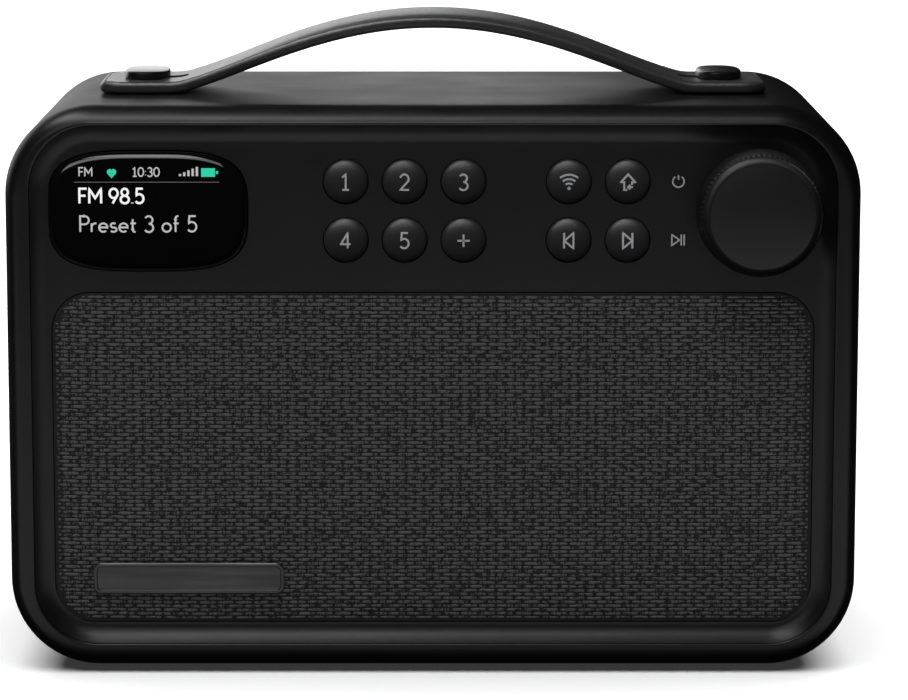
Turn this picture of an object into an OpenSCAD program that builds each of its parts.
// Tabletop radio: wrapped cabinet with a recessed front panel, woven grille, domed display,
// ten push buttons, push-and-turn knob, sprung carrying strap and telescopic aerial.
// Millimetres, +Z up. It stands on its feet at z = 0 and its front looks towards -Y.
// Depths named *_at are measured back from the plane of the front rim.

/* [Cabinet] */
// Width of the cabinet
cab_w = 204; // [200:1:280]
// Height of the cabinet without its feet
cab_h = 136; // [130:1:180]
// Depth of the cabinet from its front rim to its back edge
cab_d = 95; // [90:1:130]
// Radius of the four long corners
cab_r = 21.4; // [16:0.2:28]
// Thickness of the cabinet wall
wall = 3; // [2.2:0.1:4]
// Depth of the rounding behind the front rim
rim_round = 8; // [5:0.5:8.5]
// Distance of the rim's crest from the outside
rim_crest = 4.2; // [3:0.1:4.4]
// Width of the rim beside and below the front panel
rim_w = 6.3; // [5.5:0.1:9]
// Width of the rim above the front panel
rim_top_w = 4.4; // [4.4:0.1:9]
// Length of the rim's seat behind its front
rim_seat = 9; // [8.8:0.1:12]

/* [Front panel] */
// Depth of the panel's face behind the rim
panel_at = 3.5; // [2:0.1:4]
// Thickness of the panel
panel_t = 2.5; // [2:0.1:3]
// Depth of the panel's outer lip behind the rim
lip_at = 1.8; // [1:0.1:2]
// Width of the hollow sweep between lip and face
cove_w = 4.2; // [3:0.1:6]
// Distance of the control line below the cabinet's top
control_drop = 25; // [22:0.5:30]
// Distance of the grille's top edge below the cabinet's top
grille_drop = 44.4; // [44:0.1:60]
// Radius of the grille's corners
grille_r = 9.5; // [6:0.5:14]
// Thickness of the grille cloth
cloth_t = 0.7; // [0.4:0.1:1]

/* [Display] */
// Width of the display lens
lens_w = 47.4; // [40:0.1:50]
// Height of the display lens
lens_h = 28.7; // [24:0.1:30]
// Distance of the lens's side from the cabinet's side
lens_margin = 10.5; // [10.5:0.1:16]
// Rise of the lens's dome in front of the panel
lens_dome = 2.1; // [0.5:0.1:3]

/* [Buttons] */
// Radius of a button's cap
key_r = 4.95; // [4:0.05:5.4]
// Distance between neighbouring buttons
key_pitch = 14; // [13.6:0.1:15]
// Gap round a button's cap
key_gap = 0.45; // [0.3:0.05:0.6]
// Height of a button's edge in front of the panel
key_proud = 0.4; // [0:0.1:1]
// Rise of a button's dome
key_dome = 0.9; // [0.4:0.1:1.5]
// Travel of a button
key_travel = 0.8; // [0.3:0.1:1.2]
// Distance between the two groups of buttons, centre to centre
group_gap = 25; // [24:0.5:34]
// Distance from the last button column to the printed icons
icon_step = 12; // [10:0.5:14]
// Distance from the printed icons to the knob's axis
icon_to_knob = 19.2; // [18:0.1:22]

/* [Knob] */
// Radius of the knob at its base
knob_r = 14.7; // [12:0.1:15.2]
// Radius of the knob at its front
knob_front_r = 14.1; // [11:0.1:14.6]
// Height of the knob
knob_h = 11.4; // [10:0.1:15]
// Gap between the knob and the panel
knob_gap = 0.8; // [0.7:0.1:1.2]
// Distance of the knob's axis from the cabinet's side
knob_margin = 24.55; // [24:0.05:32]
// Travel of the knob when it is pushed
knob_travel = 0.6; // [0.2:0.1:0.6]
// Radius of the encoder's shaft
shaft_r = 3; // [2.5:0.1:3.2]

/* [Carrying strap] */
// Length of the strap from tip to tip
strap_l = 162.6; // [150:0.2:164]
// Width of the strap
strap_w = 31; // [24:0.5:40]
// Thickness of the strap
strap_t = 2.7; // [2:0.1:3.5]
// Extra thickness along the padded middle
strap_pad = 0.8; // [0.3:0.1:1.5]
// Height of the arch above the cabinet, to its underside
arch_h = 16.2; // [13:0.1:24]
// Half length of the arch
arch_l = 63; // [56:0.5:66]
// Distance of the strap's centre line behind the front rim
strap_at = 46; // [36:0.5:60]
// Distance of each stud from the middle
stud_x = 70.4; // [70:0.1:74]
// Radius of the stud's shank
stud_r = 2.4; // [2:0.1:3]
// Width of a stud's cap along the strap
cap_l = 10.4; // [9:0.1:12]
// Length of a stud's cap across the strap
cap_w = 21.5; // [14:0.5:23]
// Height of a stud's cap
cap_t = 1.8; // [1.2:0.1:2.5]

/* [Speaker] */
// Radius of the speaker's mounting flange
speaker_r = 38; // [34:0.5:39]
// Depth of the speaker behind its flange
speaker_d = 38; // [30:0.5:42]
// Travel of the cone each way
cone_travel = 1.2; // [0.5:0.1:1.5]
// Inner radius of the bass port
port_r = 9.5; // [6:0.5:12]

/* [Back] */
// Thickness of the back panel
back_t = 2.4; // [2:0.1:3]
// Depth of the back panel below the cabinet's back edge
back_inset = 1; // [0.5:0.1:2]
// Width of the battery door
door_w = 92; // [80:1:100]
// Height of the battery door
door_h = 40; // [36:1:46]
// Distance of the battery door above the cabinet's underside
door_z = 12; // [10:0.5:18]
// Radius of the headphone socket's bore
jack_r = 1.8; // [1.77:0.01:1.85]

/* [Aerial] */
// Distance of the aerial's pivot from the cabinet's side
aerial_margin = 24; // [22:0.5:30]
// Distance of the aerial's pivot below the cabinet's top
aerial_drop = 14; // [12:0.5:20]
// Distance of the folded aerial behind the back panel
aerial_out = 7; // [6.6:0.1:9]
// Radius of the aerial's largest tube
tube_r = 3; // [2.9:0.1:3.2]
// Length of the aerial's largest tube
tube_l = 120; // [100:1:130]
// Step in radius from one tube to the next
tube_step = 0.5; // [0.45:0.05:0.55]

/* [Feet] */
// Height of a foot below the cabinet
foot_h = 1; // [1:0.1:3]
// Radius of a foot
foot_r = 7; // [5:0.5:9]
// Distance of the feet from the middle, across
foot_x = 68; // [50:1:72]

/* [Hidden] */
$fn = 64;

eps = 0.01;              // overlap that makes a cut run clean through
fit = 0.2;               // gap between pieces that sit in each other
run_fit = 0.05;          // radial gap of a shaft that turns or slides
air = 0.3;               // gap between pieces that move past each other
screw_r = 1.4;           // shank of the case screws

// The knob's front and the aerial's back set where the middle of the depth lies.
back_at = cab_d - back_inset;
aerial_at = back_at + aerial_out;
knob_front_at = panel_at - knob_gap - knob_h;
depth_all = aerial_at + tube_r - knob_front_at;
rim_y = -depth_all / 2 - knob_front_at;

top_z = foot_h + cab_h;
mid_z = foot_h + cab_h / 2;
control_z = top_z - control_drop;

// Front panel and the opening that it sits in
open_w = cab_w - 2 * rim_w;
open_h = cab_h - rim_w - rim_top_w;
open_z = foot_h + rim_w + open_h / 2;
open_r = cab_r - rim_w;
panel_back_at = panel_at + panel_t;
grille_w = open_w - 2 * cove_w - 2 * fit;
grille_top_z = top_z - grille_drop;
grille_bottom_z = foot_h + rim_w + cove_w + 2 * fit;
grille_h = grille_top_z - grille_bottom_z;
grille_z = grille_bottom_z + grille_h / 2;
cloth_at = panel_at - 0.4;

// Control positions, worked back from the knob
knob_x = cab_w / 2 - knob_margin;
icon_x = knob_x - icon_to_knob;
media_x = icon_x - icon_step - key_pitch;
number_x = media_x - group_gap - 2 * key_pitch;
upper_z = control_z + key_pitch / 2;
lower_z = control_z - key_pitch / 2;
KEYS = [for (z = [upper_z, lower_z], i = [0:2]) [number_x + i * key_pitch, z],
    [media_x, upper_z], [media_x + key_pitch, upper_z],
    [media_x, lower_z], [media_x + key_pitch, lower_z]];
key_flange_at = panel_back_at + air;
key_flange_t = 1;
key_flange_r = key_r + 1.1;
key_stem_r = 1.6;
key_stem_l = 3.8;
key_stem_end_at = key_flange_at + key_flange_t + key_stem_l;
switch_at = key_stem_end_at + key_travel + 0.1;
switch_nose = 0.7;
switch_body_t = 1.7;
switch_w = 6;
board_at = switch_at + switch_nose + switch_body_t;
board_t = 1.6;
control_board_h = 2 * key_pitch + 6;
control_board_left = number_x - 17;
control_board_right = knob_x + 13;
pillar_r = 3;
PILLARS = [[number_x - key_pitch + 2, control_z],
    [(number_x + 2 * key_pitch + media_x) / 2, control_z], [icon_x + 1.5, control_z]];

// Display
lens_x = -(cab_w / 2 - lens_margin - lens_w / 2);
lens_power = 3.4;
lens_steps = 72;
lens_flange = 1.2;
lens_flange_at = panel_back_at + fit;
lens_flange_t = 1.2;
gasket_t = 0.8;
screen_at = lens_flange_at + lens_flange_t + gasket_t;
screen_t = 3;
screen_w = 41;
screen_h = 23;

// Knob and encoder
bush_r = shaft_r + 0.5;
bush_at = knob_front_at + 9.5;
encoder_at = panel_back_at + 2.4;
encoder_w = 12.5;
encoder_d = board_at - encoder_at;
hub_r = shaft_r + 2;
hub_end_at = bush_at - knob_travel - 0.4;
shaft_front_at = knob_front_at + 3.2;
shaft_back_at = encoder_at + 1.6;
pocket_at = encoder_at + 1;
pocket_r = shaft_r + 0.6;
plunger_t = 1;
nut_t = 2;
nut_r = 5.6;
face_t = 0.8;
face_r = knob_front_r - 1.8;

// Strap
end_gap = 0.3;
arch_power = 1.42;
arch_steps = 20;
crown_x = arch_l * 0.492;
crown_gap = 0.4;
slot_in = 10;
slot_w = 2 * stud_r + 0.8;
strap_tip_r = 5;
cap_gap = 0.3;
cap_z = top_z + end_gap + strap_t + cap_gap;
stud_below = 5.5;
nut_across_r = 4;

// Speaker and its baffle
baffle_at = panel_back_at + fit;
baffle_t = 2.5;
baffle_margin = 3;
speaker_at = baffle_at + baffle_t;
speaker_z = grille_z;
cone_r = speaker_r - 10;
surround_r = speaker_r - 6;
coil_r = 9;
magnet_r = speaker_r - 14;
magnet_t = 12;
speaker_screw_r = speaker_r - 2.2;
frame_t = 1.6;
frame_at = baffle_at - frame_t - fit / 2;
slot_count = 9;
port_x = -cab_w / 2 + 40;
port_z = grille_z + 24;
port_l = 40;

// Back
inner_w = cab_w - 2 * wall;
inner_h = cab_h - 2 * wall;
inner_r = cab_r - wall;
back_front_at = back_at - back_t;
post_r = 4;
post_l = 30;
post_in = inner_r * 0.57;
POSTS = [for (sx = [-1, 1], sz = [-1, 1])
    [sx * (cab_w / 2 - cab_r + post_in), mid_z + sz * (cab_h / 2 - cab_r + post_in)]];
head_r = 2.7;
head_t = 1;
door_bottom_z = foot_h + door_z;
door_t = back_t - 0.4;
door_axis_at = back_at - door_t / 2;
door_axis_z = door_bottom_z + door_h - door_t / 2;
door_pin_r = 0.7;
door_pin_l = 2;
tray_d = 26;
tray_wall = 1.6;
socket_x = cab_w / 2 - 32;
power_z = foot_h + 27;
jack_z = foot_h + 43;
jack_l = 12;
main_board_w = 46;
main_board_h = 48;
main_board_z = foot_h + 40;
main_board_back_at = back_at - jack_l;

// Aerial
aerial_x = cab_w / 2 - aerial_margin;
aerial_z = top_z - aerial_drop;
mount_t = 2.6;
mount_r = 8;
sleeve_r = 5;
spigot_r = 3;
sleeve_end_at = back_front_at - 1.2;
turret_at = back_at + mount_t + air;
turret_t = 1.2;
ear_t = 1.6;
knuckle_h = 4.2;
elbow_r = 1.2;
tube_start = tube_r + 4.4;
tube_wall = tube_step - 0.1;
tube_show = 5;

function superellipse(w, h, power, steps) =
    [for (i = [0:steps - 1]) let (a = 360 * i / steps, c = cos(a), s = sin(a))
        [w / 2 * sign(c) * pow(abs(c), 2 / power), h / 2 * sign(s) * pow(abs(s), 2 / power)]];

// Height of the strap's underside, and its steepness
function arch_z(x) = arch_h * pow(max(0, 1 - pow(x / arch_l, 2)), arch_power);
function arch_slope(x) = (arch_z(x + 0.05) - arch_z(x - 0.05)) / 0.1;

// Points of the strap's side view from x0 to x1, underside first
function strap_side(x0, x1, thick) = concat(
    [for (i = [0:arch_steps]) let (x = x0 + (x1 - x0) * i / arch_steps) [x, arch_z(x)]],
    [for (i = [arch_steps:-1:0]) let (x = x0 + (x1 - x0) * i / arch_steps)
        [x, arch_z(x) + thick * sqrt(1 + pow(arch_slope(x), 2))]]);

// Stands children drawn in x and y up on the front, at a depth behind the rim; +z faces the viewer
module on_front(at, x = 0, z = 0) {
    translate([x, rim_y + at, z]) rotate([90, 0, 0]) children();
}

// A round bar along the depth
module bar_y(r, from_at, to_at, x, z) {
    on_front(to_at, x, z) cylinder(r = r, h = to_at - from_at);
}

module box_y(w, h, from_at, to_at, x, z) {
    on_front(to_at, x, z) translate([-w / 2, -h / 2, 0]) cube([w, h, to_at - from_at]);
}

module rounded_rect(w, h, r) {
    square([w - 2 * r, h], center = true);
    square([w, h - 2 * r], center = true);
    for (sx = [-1, 1], sy = [-1, 1]) translate([sx * (w / 2 - r), sy * (h / 2 - r)]) circle(r);
}

module plate_y(w, h, r, from_at, to_at, x, z) {
    on_front(to_at, x, z) linear_extrude(to_at - from_at) rounded_rect(w, h, r);
}

// Carries a profile round a rounded rectangle; the profile's x is 0 at the outline
module ring_sweep(w, h, r) {
    for (sx = [0, 1], sy = [0, 1]) mirror([sx, 0, 0]) mirror([0, sy, 0])
        translate([w / 2 - r, h / 2 - r, 0]) rotate_extrude(angle = 90) translate([r, 0]) children();
    for (a = [0, 180]) rotate([0, 0, a]) {
        translate([w / 2, h / 2 - r, 0]) rotate([90, 0, 0]) linear_extrude(h - 2 * r) children();
        translate([-w / 2 + r, h / 2, 0]) rotate([90, 0, 90])
            linear_extrude(w - 2 * r) children();
    }
}

// ---- Casework ----

module rim_profile() {
    polygon(concat([[-rim_crest - eps, -rim_round - eps], [-rim_crest - eps, 0]],
        [for (a = [90:-10:0]) [-rim_crest + rim_crest * cos(a), -rim_round + rim_round * sin(a)]],
        [[0, -rim_round - eps]]));
}

module cabinet() {
    color("#26262a") difference() {
        union() {
            plate_y(cab_w, cab_h, cab_r, rim_round, cab_d, 0, mid_z);
            plate_y(cab_w - 2 * rim_crest, cab_h - 2 * rim_crest, cab_r - rim_crest,
                0, rim_round + eps, 0, mid_z);
            on_front(0, 0, mid_z) ring_sweep(cab_w, cab_h, cab_r) rim_profile();
        }
        plate_y(open_w, open_h, open_r, -1, rim_seat + 1, 0, open_z);
        difference() {
            plate_y(inner_w, inner_h, inner_r, rim_seat, cab_d + 1, 0, mid_z);
            for (p = POSTS) bar_y(post_r, back_front_at - post_l, back_front_at, p[0], p[1]);
        }
        for (p = POSTS) bar_y(screw_r + run_fit, back_front_at - 14, back_front_at + 1, p[0], p[1]);
        for (sx = [-1, 1]) translate([sx * stud_x, rim_y + strap_at, top_z - wall - 1])
            cylinder(r = stud_r - 0.2, h = wall + 2);
        for (p = foot_places()) translate([p[0], p[1], -1])
            cylinder(r = foot_r + fit, h = foot_h + 1 + foot_sunk());
    }
}

function foot_sunk() = 1.2;
function foot_places() = [for (sx = [-1, 1], at = [20, cab_d - 20]) [sx * foot_x, rim_y + at]];

module feet() {
    color("#161616") for (p = foot_places()) translate([p[0], p[1], 0])
        cylinder(r = foot_r, h = foot_h + foot_sunk());
}

module cove_profile() {
    steps = 8;
    polygon(concat([[0, -panel_at - 1], [0, -lip_at]],
        [for (i = [1:steps]) let (s = i / steps)
            [-cove_w * s, -panel_at + (panel_at - lip_at) * pow(1 - s, 2)]],
        [[-cove_w, -panel_at - 1]]));
}

module front_panel() {
    color("#1d1d20") difference() {
        union() {
            plate_y(open_w - 2 * fit, open_h - 2 * fit, open_r - fit,
                panel_at, panel_back_at, 0, open_z);
            on_front(0, 0, open_z)
                ring_sweep(open_w - 2 * fit, open_h - 2 * fit, open_r - fit) cove_profile();
            for (p = PILLARS) bar_y(pillar_r, panel_back_at - eps, board_at, p[0], p[1]);
        }
        plate_y(grille_w + 2 * fit, grille_h + 2 * fit, grille_r + fit,
            -1, panel_back_at + 1, 0, grille_z);
        on_front(panel_back_at + 1, lens_x, control_z) linear_extrude(panel_t + 3)
            polygon(superellipse(lens_w + 2 * fit, lens_h + 2 * fit, lens_power, lens_steps));
        for (k = KEYS) bar_y(key_r + key_gap, -1, panel_back_at + 1, k[0], k[1]);
        bar_y(bush_r + fit, -1, panel_back_at + 1, knob_x, control_z);
        for (p = PILLARS) bar_y(1, panel_back_at + 1, board_at + 1, p[0], p[1]);
    }
}

module rear_panel() {
    color("#1c1c1e") difference() {
        plate_y(inner_w - 2 * fit, inner_h - 2 * fit, inner_r - fit,
            back_front_at, back_at, 0, mid_z);
        for (p = POSTS) {
            bar_y(screw_r + fit, back_front_at - 1, back_at + 1, p[0], p[1]);
            bar_y(head_r + fit, back_at - head_t - fit, back_at + 1, p[0], p[1]);
        }
        box_y(door_w + 2 * air, door_h + 2 * air, back_front_at - 1, back_at + 1,
            0, door_bottom_z + door_h / 2);
        translate([-door_w / 2 - door_pin_l - air, rim_y + door_axis_at, door_axis_z])
            rotate([0, 90, 0]) cylinder(r = door_pin_r + run_fit, h = door_w + 2 * door_pin_l + 2 * air);
        bar_y(port_r + 1.5 + fit, back_front_at - 1, back_at + 1, port_x, port_z);
        bar_y(sleeve_r + fit, back_front_at - 1, back_at + 1, aerial_x, aerial_z);
        plate_y(10.4, 4.4, 2, back_front_at - 1, back_at + 1, socket_x, power_z);
        bar_y(4.2, back_front_at - 1, back_at + 1, socket_x, jack_z);
    }
}

module battery_door() {
    color("#202022") {
        box_y(door_w, door_h - door_t / 2, back_at - door_t, back_at, 0,
            door_bottom_z + (door_h - door_t / 2) / 2);
        translate([-door_w / 2, rim_y + door_axis_at, door_axis_z])
            rotate([0, 90, 0]) cylinder(r = door_t / 2, h = door_w);
        translate([-door_w / 2 - door_pin_l, rim_y + door_axis_at, door_axis_z])
            rotate([0, 90, 0]) cylinder(r = door_pin_r, h = door_w + 2 * door_pin_l);
    }
}

module case_screws() {
    color("silver") for (p = POSTS) {
        bar_y(head_r, back_at - head_t, back_at, p[0], p[1]);
        bar_y(screw_r, back_at - 13, back_at - head_t, p[0], p[1]);
    }
}

// ---- Grille and badge ----

module grille_frame() {
    slot_w = grille_w - 16;
    slot_pitch = (grille_h - 12) / slot_count;
    color("#101012") difference() {
        plate_y(grille_w, grille_h, grille_r, frame_at, baffle_at, 0, grille_z);
        for (i = [0:slot_count - 1])
            box_y(slot_w, slot_pitch - 2, frame_at - 1, baffle_at + 1, 0,
                grille_z + (i - (slot_count - 1) / 2) * slot_pitch);
    }
}

module grille_fabric() {
    color("#55555a") plate_y(grille_w, grille_h, grille_r, cloth_at, cloth_at + cloth_t, 0, grille_z);
}

module badge() {
    badge_w = 46;
    badge_h = 7.6;
    color("silver") plate_y(badge_w, badge_h, 2, cloth_at - 0.9, cloth_at,
        -grille_w / 2 + 9.5 + badge_w / 2, grille_bottom_z + 11);
}

// ---- Display ----

module display_lens() {
    color("#0a0a0c") {
        on_front(lens_flange_at, lens_x, control_z)
            linear_extrude(lens_flange_at - panel_at + eps)
                polygon(superellipse(lens_w, lens_h, lens_power, lens_steps));
        on_front(panel_at, lens_x, control_z) hull() for (s = [0:3])
            translate([0, 0, lens_dome * sqrt(1 - pow(1 - s / 3, 2)) * (1 - eps)])
                linear_extrude(eps) polygon(superellipse(lens_w - pow(s, 2) * 2.2,
                    lens_h - pow(s, 2) * 1.6, lens_power, lens_steps));
        plate_y(lens_w + 2 * lens_flange, lens_h + 2 * lens_flange, 8,
            lens_flange_at, lens_flange_at + lens_flange_t, lens_x, control_z);
    }
}

module display_gasket() {
    from_at = lens_flange_at + lens_flange_t;
    color("#2a2a2a") difference() {
        plate_y(lens_w, lens_h, 6, from_at, from_at + gasket_t, lens_x, control_z);
        plate_y(screen_w - 2, screen_h - 2, 4, from_at - 1, from_at + gasket_t + 1, lens_x, control_z);
    }
}

module display_module() {
    color("#3b6f5a") {
        box_y(screen_w, screen_h, screen_at, screen_at + screen_t, lens_x, control_z);
        box_y(lens_w, lens_h, screen_at + screen_t, screen_at + screen_t + board_t,
            lens_x, control_z);
    }
}

// ---- Buttons ----

module button(i) {
    edge_at = panel_at - key_proud;
    dome_r = (key_r * key_r + key_dome * key_dome) / (2 * key_dome);
    x = KEYS[i][0];
    z = KEYS[i][1];
    color("#2c2c30") {
        bar_y(key_r, edge_at, key_flange_at + eps, x, z);
        intersection() {
            bar_y(key_r, edge_at - key_dome, edge_at + eps, x, z);
            translate([x, rim_y + edge_at - key_dome + dome_r, z]) sphere(dome_r);
        }
        bar_y(key_flange_r, key_flange_at, key_flange_at + key_flange_t, x, z);
        bar_y(key_stem_r, key_flange_at + key_flange_t - eps, key_stem_end_at, x, z);
    }
}

module key_switches() {
    color("#8c8c90") for (k = KEYS) {
        bar_y(1.5, switch_at, switch_at + switch_nose + eps, k[0], k[1]);
        box_y(switch_w, switch_w, switch_at + switch_nose, board_at, k[0], k[1]);
    }
}

module control_board() {
    w = control_board_right - control_board_left;
    color("#1f5a3c") difference() {
        box_y(w, control_board_h, board_at, board_at + board_t,
            control_board_left + w / 2, control_z);
        for (p = PILLARS) bar_y(1.2, board_at - 1, board_at + board_t + 1, p[0], p[1]);
    }
}

module board_screws() {
    color("silver") for (p = PILLARS) {
        bar_y(2.2, board_at + board_t, board_at + board_t + 1.4, p[0], p[1]);
        bar_y(0.9, board_at - 5, board_at + board_t + eps, p[0], p[1]);
    }
}

// ---- Knob ----

module knob_body() {
    base_at = panel_at - knob_gap;
    roof = 3;
    skirt = 1.8;
    edge = 1.1;
    color("#232326") translate([knob_x, rim_y, control_z]) rotate([90, 0, 0])
        rotate_extrude() polygon(concat([
            [shaft_r, -shaft_front_at], [shaft_r, -hub_end_at], [hub_r, -hub_end_at],
            [hub_r, -knob_front_at - roof], [knob_r - skirt, -knob_front_at - roof],
            [knob_r - skirt, -base_at], [knob_r, -base_at]],
            [for (a = [0:15:90]) [knob_front_r - edge + edge * cos(a),
                -knob_front_at - edge + edge * sin(a)]],
            [[face_r + fit, -knob_front_at], [face_r + fit, -knob_front_at - face_t],
            [0, -knob_front_at - face_t], [0, -shaft_front_at]]));
}

module knob_face() {
    color("#303034") bar_y(face_r, knob_front_at, knob_front_at + face_t, knob_x, control_z);
}

module encoder_shaft() {
    color("silver") bar_y(shaft_r, shaft_front_at, shaft_back_at, knob_x, control_z);
}

module encoder_body() {
    color("#6d6d72") difference() {
        union() {
            box_y(encoder_w, encoder_w, encoder_at, board_at, knob_x, control_z);
            bar_y(bush_r, bush_at, encoder_at + eps, knob_x, control_z);
        }
        bar_y(shaft_r + run_fit, bush_at - 1, pocket_at + eps, knob_x, control_z);
        bar_y(pocket_r, pocket_at, pocket_at + plunger_t + 2.4, knob_x, control_z);
    }
}

module encoder_plunger() {
    color("#c8c8cc") bar_y(shaft_r, shaft_back_at + fit, shaft_back_at + fit + plunger_t,
        knob_x, control_z);
}

module encoder_nut() {
    color("silver") difference() {
        on_front(panel_at, knob_x, control_z) cylinder(r = nut_r, h = nut_t, $fn = 6);
        bar_y(bush_r, panel_at - nut_t - 1, panel_at + 1, knob_x, control_z);
    }
}

// ---- Speaker ----

module speaker_turn() {
    translate([0, rim_y + speaker_at, speaker_z]) rotate([90, 0, 0]) rotate_extrude() children();
}

module speaker_baffle() {
    color("#141416") difference() {
        plate_y(grille_w + 2 * baffle_margin, grille_h + 2 * baffle_margin,
            grille_r + baffle_margin, baffle_at, speaker_at, 0, grille_z);
        bar_y(surround_r + 0.5, baffle_at - 1, speaker_at + 1, 0, speaker_z);
        for (a = [45:90:315]) bar_y(1.2, baffle_at - 1, speaker_at + 1,
            speaker_screw_r * cos(a), speaker_z + speaker_screw_r * sin(a));
    }
}

module speaker_basket() {
    skin = 1;
    collar_l = 4.5;
    neck_r = magnet_r - 6;
    neck_at = speaker_d - magnet_t;
    color("#3a3a3e") difference() {
        speaker_turn() polygon([[surround_r, 0], [speaker_r, 0], [speaker_r, -skin],
            [surround_r + skin, -skin], [surround_r + skin, -collar_l], [neck_r, -neck_at],
            [coil_r + 2, -neck_at], [coil_r + 2, -neck_at + skin],
            [neck_r - skin, -neck_at + skin], [surround_r, -collar_l]]);
        for (a = [45:90:315]) bar_y(1.2, speaker_at - 1, speaker_at + 6,
            speaker_screw_r * cos(a), speaker_z + speaker_screw_r * sin(a));
    }
}

module speaker_magnet() {
    color("#55555a") bar_y(magnet_r, speaker_at + speaker_d - magnet_t,
        speaker_at + speaker_d, 0, speaker_z);
}

module speaker_cone() {
    paper = 0.6;
    deep = speaker_d - magnet_t - 8;
    color("#26262a") speaker_turn() polygon([[cone_r, -2], [cone_r - paper, -2],
        [coil_r + 1, -deep + 1], [0, -deep + 5], [0, -deep + 4], [coil_r, -deep],
        [coil_r, -deep - 4], [coil_r + paper, -deep - 4], [coil_r + paper, -deep]]);
}

module speaker_surround() {
    color("#151515") speaker_turn() difference() {
        translate([(cone_r + surround_r) / 2, -2]) circle((surround_r - cone_r) / 2 - 0.1);
        translate([(cone_r + surround_r) / 2, -2]) circle((surround_r - cone_r) / 2 - 0.7);
        translate([cone_r - 1, -2 - surround_r]) square([surround_r, surround_r]);
    }
}

module speaker_screws() {
    color("silver") for (a = [45:90:315]) {
        x = speaker_screw_r * cos(a);
        z = speaker_z + speaker_screw_r * sin(a);
        bar_y(2.1, speaker_at + 1, speaker_at + 2.6, x, z);
        bar_y(1.1, baffle_at + 0.4, speaker_at + 1 + eps, x, z);
    }
}

module bass_port() {
    color("#19191b") difference() {
        union() {
            bar_y(port_r + 1.5, back_at - port_l, back_at, port_x, port_z);
            bar_y(port_r + 4, back_at, back_at + back_inset, port_x, port_z);
        }
        bar_y(port_r, back_at - port_l - 1, back_at + back_inset + 1, port_x, port_z);
    }
}

// ---- Electronics and battery ----

module main_board() {
    color("#1f5a3c") box_y(main_board_w, main_board_h, main_board_back_at - board_t,
        main_board_back_at, socket_x, main_board_z);
}

module board_components() {
    front_at = main_board_back_at - board_t;
    color("#2d2d30") {
        for (i = [0:2]) bar_y(4, front_at - 11, front_at, socket_x - 14 + i * 10, main_board_z - 19);
        box_y(14, 14, front_at - 1.2, front_at, socket_x - 10, main_board_z);
        box_y(20, 5, front_at - 6, front_at, socket_x, main_board_z + 20);
    }
}

module tuner_module() {
    front_at = main_board_back_at - board_t;
    color("silver") box_y(18, 22, front_at - 3.5, front_at, socket_x + 12, main_board_z + 4);
}

module power_socket() {
    color("#9a9aa0") difference() {
        plate_y(9.8, 3.8, 1.7, main_board_back_at, back_at - 0.3, socket_x, power_z);
        plate_y(8.8, 2.8, 1.3, main_board_back_at + 2, back_at + 1, socket_x, power_z);
    }
}

module headphone_socket() {
    color("#1a1a1c") difference() {
        bar_y(4, main_board_back_at, back_at, socket_x, jack_z);
        bar_y(jack_r, main_board_back_at - 1, back_at + 1, socket_x, jack_z);
    }
}

module battery_tray() {
    tray_back_at = back_front_at - fit;
    z = door_bottom_z + door_h / 2;
    color("#1c1c1e") difference() {
        box_y(door_w, door_h, tray_back_at - tray_d, tray_back_at, 0, z);
        box_y(door_w - 2 * tray_wall, door_h - 2 * tray_wall,
            tray_back_at - tray_d + tray_wall, tray_back_at + 1, 0, z);
    }
}

module battery_pack() {
    cell_space = (door_h - 2 * tray_wall) / 4;
    cell_l = door_w - 2 * tray_wall - 10;
    color("#274a7a") for (s = [-1, 1])
        translate([-cell_l / 2, rim_y + back_front_at - 14, door_bottom_z + door_h / 2 + s * cell_space])
            rotate([0, 90, 0]) cylinder(r = cell_space - fit / 2, h = cell_l);
}

module battery_contacts() {
    z = door_bottom_z + door_h / 2;
    x = door_w / 2 - tray_wall - 2;
    color("gold") for (sx = [-1, 1]) translate([sx * x - 1, rim_y + back_front_at - 20, z - 14])
        cube([2, 12, 28]);
}

// ---- Carrying strap ----

module strap_band(x0, x1, z, w, thick) {
    translate([0, rim_y + strap_at + w / 2, z]) rotate([90, 0, 0])
        linear_extrude(w) polygon(strap_side(x0, x1, thick));
}

module strap_crown() {
    color("#2f2f33") {
        strap_band(-crown_x, crown_x, top_z, strap_w, strap_t);
        strap_band(-crown_x, crown_x, top_z, strap_w - 9, strap_t + strap_pad);
    }
}

module strap_end() {
    tip = strap_l / 2;
    base = top_z + end_gap;
    color("#2f2f33") difference() {
        union() {
            strap_band(crown_x + crown_gap, arch_l, base, strap_w, strap_t);
            intersection() {
                translate([arch_l - 0.1, rim_y + strap_at - strap_w / 2, base])
                    cube([tip - arch_l + 0.1, strap_w, strap_t]);
                translate([0, rim_y + strap_at, base]) linear_extrude(strap_t)
                    rounded_rect(2 * tip, strap_w, strap_tip_r);
            }
        }
        translate([stud_x - slot_in, rim_y + strap_at - slot_w / 2, base - 1])
            cube([slot_in, slot_w, strap_t + 3]);
        translate([stud_x, rim_y + strap_at, base - 1]) cylinder(r = slot_w / 2, h = strap_t + 3);
    }
}

module strap_right_end() {
    strap_end();
}

module strap_left_end() {
    mirror([1, 0, 0]) strap_end();
}

module strap_studs() {
    color("#4a4a4e") for (sx = [-1, 1]) translate([sx * stud_x, rim_y + strap_at, 0]) {
        translate([0, 0, top_z]) cylinder(r = stud_r, h = cap_z - top_z);
        translate([0, 0, top_z - stud_below]) cylinder(r = stud_r - 0.4, h = stud_below + eps);
    }
}

module stud_caps() {
    color("#8a8a90") for (sx = [-1, 1]) translate([sx * stud_x, rim_y + strap_at, cap_z])
        linear_extrude(cap_t) rounded_rect(cap_l, cap_w, 2.4);
}

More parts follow.
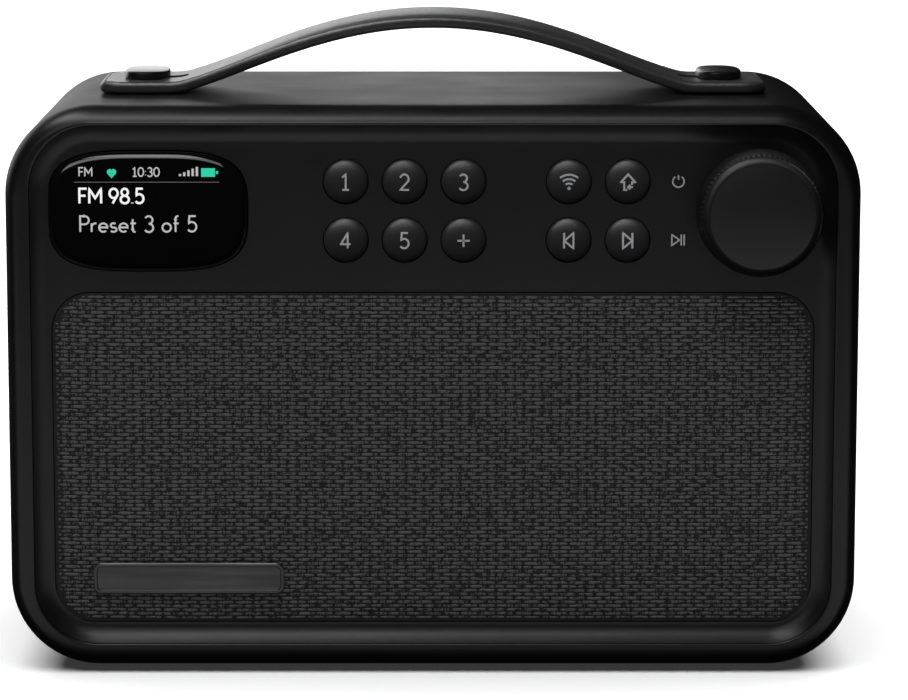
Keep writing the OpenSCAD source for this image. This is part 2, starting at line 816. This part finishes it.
module stud_nuts() {
    color("silver") for (sx = [-1, 1]) difference() {
        translate([sx * stud_x, rim_y + strap_at, top_z - wall - 2.2])
            cylinder(r = nut_across_r, h = 2.2, $fn = 6);
        translate([sx * stud_x, rim_y + strap_at, top_z - wall - 3]) cylinder(r = stud_r - 0.4, h = 4);
    }
}

// ---- Aerial ----

module aerial_mount() {
    color("#222224") difference() {
        union() {
            bar_y(mount_r, back_at, back_at + mount_t, aerial_x, aerial_z);
            bar_y(sleeve_r, sleeve_end_at, back_at + eps, aerial_x, aerial_z);
        }
        bar_y(spigot_r + run_fit, sleeve_end_at - 1, back_at + mount_t + 1, aerial_x, aerial_z);
    }
}

module aerial_turret() {
    ear_gap = knuckle_h / 2 + fit;
    color("silver") difference() {
        union() {
            bar_y(mount_r - 2, turret_at, turret_at + turret_t, aerial_x, aerial_z);
            bar_y(spigot_r, sleeve_end_at - air - 1.4, turret_at + eps, aerial_x, aerial_z);
            for (s = [-1, 1]) translate([aerial_x, 0, aerial_z + s * (ear_gap + ear_t / 2)]) {
                translate([-elbow_r - 1.4, rim_y + turret_at, -ear_t / 2])
                    cube([2 * elbow_r + 2.8, aerial_at - turret_at, ear_t]);
                translate([0, rim_y + aerial_at, -ear_t / 2])
                    cylinder(r = elbow_r + 1.4, h = ear_t);
            }
        }
        translate([aerial_x, rim_y + aerial_at, aerial_z - 10]) cylinder(r = elbow_r, h = 20);
    }
}

module aerial_pin() {
    pin_l = knuckle_h + 2 * fit + 2 * ear_t;
    color("silver") translate([aerial_x, rim_y + aerial_at, aerial_z - pin_l / 2])
        cylinder(r = elbow_r, h = pin_l);
}

module aerial_clip() {
    color("silver") difference() {
        bar_y(sleeve_r, sleeve_end_at - air - 1, sleeve_end_at - air, aerial_x, aerial_z);
        bar_y(spigot_r, sleeve_end_at - air - 2, sleeve_end_at, aerial_x, aerial_z);
    }
}

// One tube of the aerial, from x0 to x1
module aerial_tube(r, x0, x1) {
    color("silver") difference() {
        translate([x1, rim_y + aerial_at, aerial_z]) rotate([0, 90, 0]) cylinder(r = r, h = x0 - x1);
        translate([x1 - 1, rim_y + aerial_at, aerial_z]) rotate([0, 90, 0])
            cylinder(r = r - tube_wall, h = x0 - x1 - 1);
    }
}

module aerial_tube_1() {
    start = aerial_x - tube_start;
    color("silver") {
        aerial_tube(tube_r, start, start - tube_l);
        difference() {
            union() {
                translate([aerial_x, rim_y + aerial_at, aerial_z - knuckle_h / 2])
                    cylinder(r = elbow_r + 1.4, h = knuckle_h);
                translate([start - eps, rim_y + aerial_at - 1.8, aerial_z - knuckle_h / 2])
                    cube([tube_start + eps, 3.6, knuckle_h]);
            }
            translate([aerial_x, rim_y + aerial_at, aerial_z - 10])
                cylinder(r = elbow_r + run_fit, h = 20);
        }
    }
}

function tube_from(i) = aerial_x - tube_start - 4 * i;
function tube_to(i) = aerial_x - tube_start - tube_l - tube_show * i;

module aerial_tube_2() {
    aerial_tube(tube_r - tube_step, tube_from(1), tube_to(1));
}

module aerial_tube_3() {
    aerial_tube(tube_r - 2 * tube_step, tube_from(2), tube_to(2));
}

module aerial_tube_4() {
    tip_l = 7;
    color("silver") {
        translate([tube_to(3), rim_y + aerial_at, aerial_z]) rotate([0, 90, 0])
            cylinder(r = tube_r - 3 * tube_step, h = tube_from(3) - tube_to(3));
        translate([tube_to(3) - tip_l, rim_y + aerial_at, aerial_z]) rotate([0, 90, 0])
            cylinder(r = tube_r, h = tip_l);
    }
}

cabinet();
front_panel();
rear_panel();
battery_door();
grille_frame();
grille_fabric();
badge();
display_lens();
display_gasket();
display_module();
button(0);  // button_1
button(1);  // button_2
button(2);  // button_3
button(3);  // button_4
button(4);  // button_5
button(5);  // button_plus
button(6);  // button_wireless
button(7);  // button_home
button(8);  // button_previous
button(9);  // button_next
key_switches();
control_board();
knob_body();
knob_face();
encoder_shaft();
encoder_body();
encoder_plunger();
encoder_nut();
speaker_baffle();
speaker_basket();
speaker_magnet();
speaker_cone();
speaker_surround();
speaker_screws();
bass_port();
main_board();
board_components();
tuner_module();
power_socket();
headphone_socket();
battery_tray();
battery_pack();
battery_contacts();
strap_left_end();
strap_crown();
strap_right_end();
strap_studs();
stud_caps();
stud_nuts();
feet();
case_screws();
board_screws();
aerial_mount();
aerial_turret();
aerial_pin();
aerial_clip();
aerial_tube_1();
aerial_tube_2();
aerial_tube_3();
aerial_tube_4();
